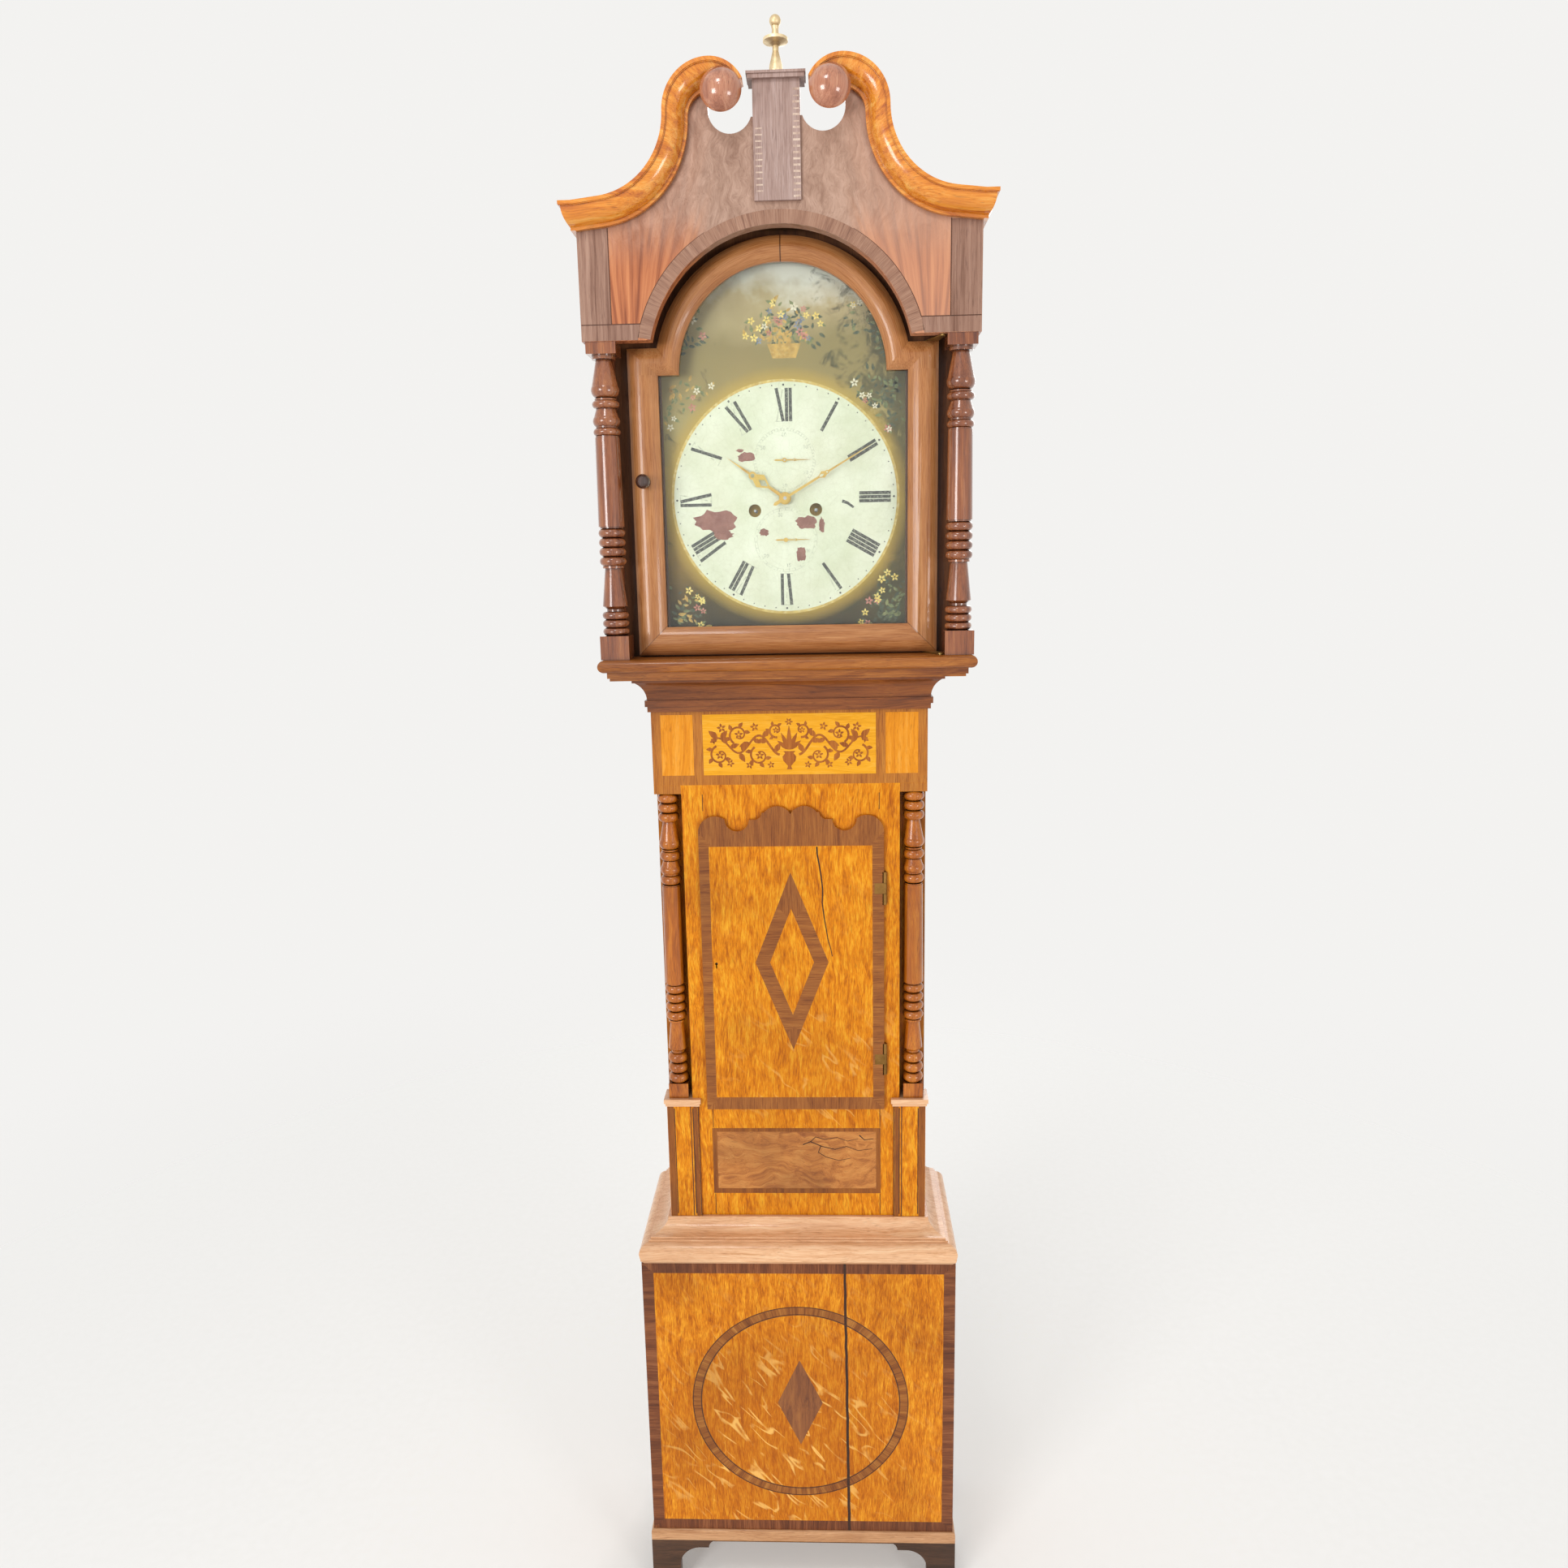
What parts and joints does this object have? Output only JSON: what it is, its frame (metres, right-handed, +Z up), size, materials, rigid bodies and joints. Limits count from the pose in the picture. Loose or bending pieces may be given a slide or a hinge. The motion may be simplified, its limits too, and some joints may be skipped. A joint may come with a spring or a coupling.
{
  "type": "longcase clock",
  "caption": "Tall wooden clock case on bracket feet with a hinged trunk door, a sliding arched hood under swan necks, a painted dial and a weight-driven striking movement.",
  "frame": {"origin": "centre of the bounding box's bottom face, on the floor", "axes": "+Z up, -Y towards the viewer in front of the dial, +X to the viewer's right"},
  "size_m": [0.557, 0.285, 2.3355],
  "materials": {
    "oak": "warm golden oak, waxed",
    "mahogany": "polished red-brown mahogany",
    "crossbanding": "dark mahogany crossbanding, polished",
    "pine": "plain sawn softwood",
    "brass": "aged brass",
    "steel": "polished steel, slightly dark",
    "iron": "dark cast iron",
    "glass": "clear old window glass",
    "dial_paint": "painted iron dial, off-white with a coloured border",
    "gut": "twisted gut line"
  },
  "bodies": {
    "case": {"backboard": "pine", "trunk_sides": "oak", "trunk_front": "oak", "trunk_inlays": "crossbanding", "trunk_columns": "mahogany", "trunk_pilasters": "oak", "throat_moulding": "mahogany", "base_front": "oak", "base_sides": "oak", "base_bottom": "pine", "base_cap_moulding": "mahogany", "base_skirting": "mahogany", "bracket_feet": "mahogany", "base_inlay": "crossbanding", "seatboard": "pine", "hinge_plates": "brass", "dial_plate": "dial_paint", "movement_plates": "brass", "bell": "brass", "going_line": "gut", "strike_line": "gut"},
    "trunk_door": {"trunk_door": "oak", "trunk_door_inlay": "crossbanding", "trunk_door_fittings": "brass"},
    "lock_bolt": {"lock_bolt": "steel"},
    "hood": {"hood_sides": "mahogany", "hood_top": "pine", "tympanum": "mahogany", "swan_necks": "mahogany", "scroll_bosses": "mahogany", "centre_plinth": "mahogany", "finial": "brass", "hood_columns": "mahogany", "hood_base_moulding": "mahogany", "hood_mask": "mahogany"},
    "hood_door": {"hood_door": "mahogany", "hood_door_glass": "glass", "hood_door_fittings": "brass"},
    "centre_wheel": {"centre_wheel": "brass", "minute_hand": "brass"},
    "hour_wheel": {"hour_wheel": "brass", "hour_hand": "brass"},
    "minute_wheel": {"minute_wheel": "brass"},
    "third_wheel": {"third_wheel": "brass"},
    "escape_wheel": {"escape_wheel": "brass", "seconds_hand": "brass"},
    "date_hand": {"date_hand": "brass"},
    "going_great_wheel": {"going_great_wheel": "brass"},
    "going_barrel": {"going_barrel": "brass"},
    "anchor": {"anchor": "steel"},
    "pendulum": {"pendulum": "brass"},
    "strike_great_wheel": {"strike_great_wheel": "brass"},
    "strike_barrel": {"strike_barrel": "brass"},
    "pin_wheel": {"pin_wheel": "brass"},
    "pallet_wheel": {"pallet_wheel": "brass"},
    "warning_wheel": {"warning_wheel": "brass"},
    "fly": {"fly": "brass"},
    "hammer": {"hammer": "steel"},
    "going_weight": {"going_weight": "iron"},
    "strike_weight": {"strike_weight": "iron"}
  },
  "joints": [
    {"name": "hood_slide", "type": "slide", "parent": "case", "child": "hood", "axis": [0, -1, 0], "range_m": [0, 0.32]},
    {"name": "hood_door_hinge", "type": "hinge", "parent": "hood", "child": "hood_door", "pos_m": [0.213, -0.0845, 1.534], "axis": [0, 0, 1], "range_deg": [0, 95]},
    {"name": "trunk_door_hinge", "type": "hinge", "parent": "case", "child": "trunk_door", "pos_m": [0.138, -0.0477, 1.07], "axis": [0, 0, 1], "range_deg": [0, 110]},
    {"name": "lock_bolt_slide", "type": "slide", "parent": "trunk_door", "child": "lock_bolt", "axis": [-1, 0, 0], "range_m": [0, 0.007]},
    {"name": "minute_arbor", "type": "hinge", "parent": "case", "child": "centre_wheel", "pos_m": [0, 0.0355, 1.751], "axis": [0, 1, 0], "continuous": true},
    {"name": "hour_arbor", "type": "hinge", "parent": "case", "child": "hour_wheel", "pos_m": [0, -0.0145, 1.751], "axis": [0, 1, 0], "continuous": true},
    {"name": "minute_wheel_stud", "type": "hinge", "parent": "case", "child": "minute_wheel", "pos_m": [0, -0.0025, 1.724], "axis": [0, 1, 0], "continuous": true},
    {"name": "third_arbor", "type": "hinge", "parent": "case", "child": "third_wheel", "pos_m": [0.0171, 0.0355, 1.78039], "axis": [0, 1, 0], "continuous": true},
    {"name": "escape_arbor", "type": "hinge", "parent": "case", "child": "escape_wheel", "pos_m": [0, 0.0355, 1.803], "axis": [0, 1, 0], "continuous": true},
    {"name": "date_arbor", "type": "hinge", "parent": "case", "child": "date_hand", "pos_m": [0, -0.0245, 1.694], "axis": [0, 1, 0], "continuous": true},
    {"name": "going_great_arbor", "type": "hinge", "parent": "case", "child": "going_great_wheel", "pos_m": [0.043, 0.0555, 1.735], "axis": [0, 1, 0], "continuous": true},
    {"name": "pendulum_swing", "type": "hinge", "parent": "case", "child": "pendulum", "pos_m": [0, 0.0925, 1.83128], "axis": [0, 1, 0], "range_deg": [-2.5, 2.5]},
    {"name": "anchor_swing", "type": "hinge", "parent": "case", "child": "anchor", "pos_m": [0, 0.0355, 1.83128], "axis": [0, 1, 0], "range_deg": [-2.6, 2.6]},
    {"name": "going_weight_slide", "type": "slide", "parent": "case", "child": "going_weight", "axis": [0, 0, 1], "range_m": [0, 1.13], "deforming": ["going_line"]},
    {"name": "going_winding", "type": "hinge", "parent": "case", "child": "going_barrel", "pos_m": [0.043, 0.0335, 1.735], "axis": [0, 1, 0], "range_deg": [0, 5770]},
    {"name": "strike_weight_slide", "type": "slide", "parent": "case", "child": "strike_weight", "axis": [0, 0, 1], "range_m": [0, 1.13], "deforming": ["strike_line"]},
    {"name": "strike_winding", "type": "hinge", "parent": "case", "child": "strike_barrel", "pos_m": [-0.043, 0.0335, 1.735], "axis": [0, 1, 0], "range_deg": [0, 5770]},
    {"name": "strike_great_arbor", "type": "hinge", "parent": "case", "child": "strike_great_wheel", "pos_m": [-0.043, 0.0605, 1.735], "axis": [0, 1, 0], "continuous": true},
    {"name": "pin_arbor", "type": "hinge", "parent": "case", "child": "pin_wheel", "pos_m": [-0.04597, 0.0355, 1.77359], "axis": [0, 1, 0], "continuous": true},
    {"name": "pallet_arbor", "type": "hinge", "parent": "case", "child": "pallet_wheel", "pos_m": [-0.03395, 0.0355, 1.79573], "axis": [0, 1, 0], "continuous": true},
    {"name": "warning_arbor", "type": "hinge", "parent": "case", "child": "warning_wheel", "pos_m": [-0.04396, 0.0355, 1.81538], "axis": [0, 1, 0], "continuous": true},
    {"name": "fly_arbor", "type": "hinge", "parent": "case", "child": "fly", "pos_m": [-0.05796, 0.0215, 1.82353], "axis": [0, 1, 0], "continuous": true},
    {"name": "hammer_lift", "type": "hinge", "parent": "case", "child": "hammer", "pos_m": [-0.066, 0.0525, 1.801], "axis": [0, -1, 0], "range_deg": [0, 12], "stiffness_Nm_per_rad": 0.05, "springref_deg": -17.19}
  ],
  "couplings": [
    {"joint": "hour_arbor", "follows": "minute_arbor", "ratio": 0.083333},
    {"joint": "minute_wheel_stud", "follows": "minute_arbor", "ratio": -1},
    {"joint": "third_arbor", "follows": "minute_arbor", "ratio": -7.5},
    {"joint": "escape_arbor", "follows": "minute_arbor", "ratio": 60},
    {"joint": "going_great_arbor", "follows": "minute_arbor", "ratio": -0.083333},
    {"joint": "date_arbor", "follows": "minute_arbor", "ratio": 0.0013441},
    {"joint": "anchor_swing", "follows": "pendulum_swing", "ratio": 1},
    {"joint": "going_winding", "follows": "going_weight_slide", "rad_per_m": 88.889},
    {"joint": "strike_winding", "follows": "strike_weight_slide", "rad_per_m": 88.889},
    {"joint": "pin_arbor", "follows": "pallet_arbor", "ratio": -0.125},
    {"joint": "strike_great_arbor", "follows": "pallet_arbor", "ratio": 0.012821},
    {"joint": "warning_arbor", "follows": "pallet_arbor", "ratio": -8},
    {"joint": "fly_arbor", "follows": "pallet_arbor", "ratio": 64}
  ]
}
